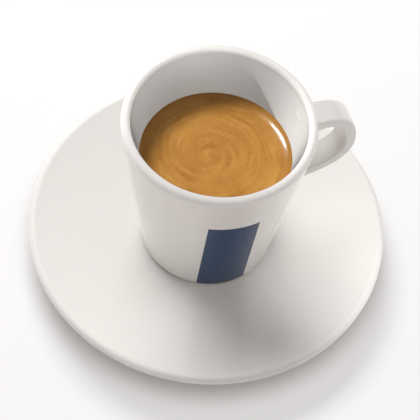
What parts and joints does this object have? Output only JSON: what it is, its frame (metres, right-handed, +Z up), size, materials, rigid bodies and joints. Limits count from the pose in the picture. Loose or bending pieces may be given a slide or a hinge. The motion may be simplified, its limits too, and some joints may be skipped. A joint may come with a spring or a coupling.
{
  "type": "espresso in a cup with saucer",
  "caption": "Espresso with hazelnut-brown crema in a tapered white porcelain cup with a strap handle and a plain dark-blue panel, standing on its shallow round saucer.",
  "frame": {"origin": "middle of the saucer's foot, on the surface that it stands on", "axes": "+Z up along the axis of the saucer and cup, +X towards the cup's handle"},
  "size_m": [0.12, 0.12, 0.068],
  "materials": {
    "porcelain": "clear gloss glaze over white porcelain, with a plain dark-blue panel fired on the cup's side",
    "crema": "fine wet foam with a soft sheen"
  },
  "bodies": {
    "root": {"saucer": "porcelain", "cup": "porcelain", "espresso": "crema"}
  },
  "joints": []
}
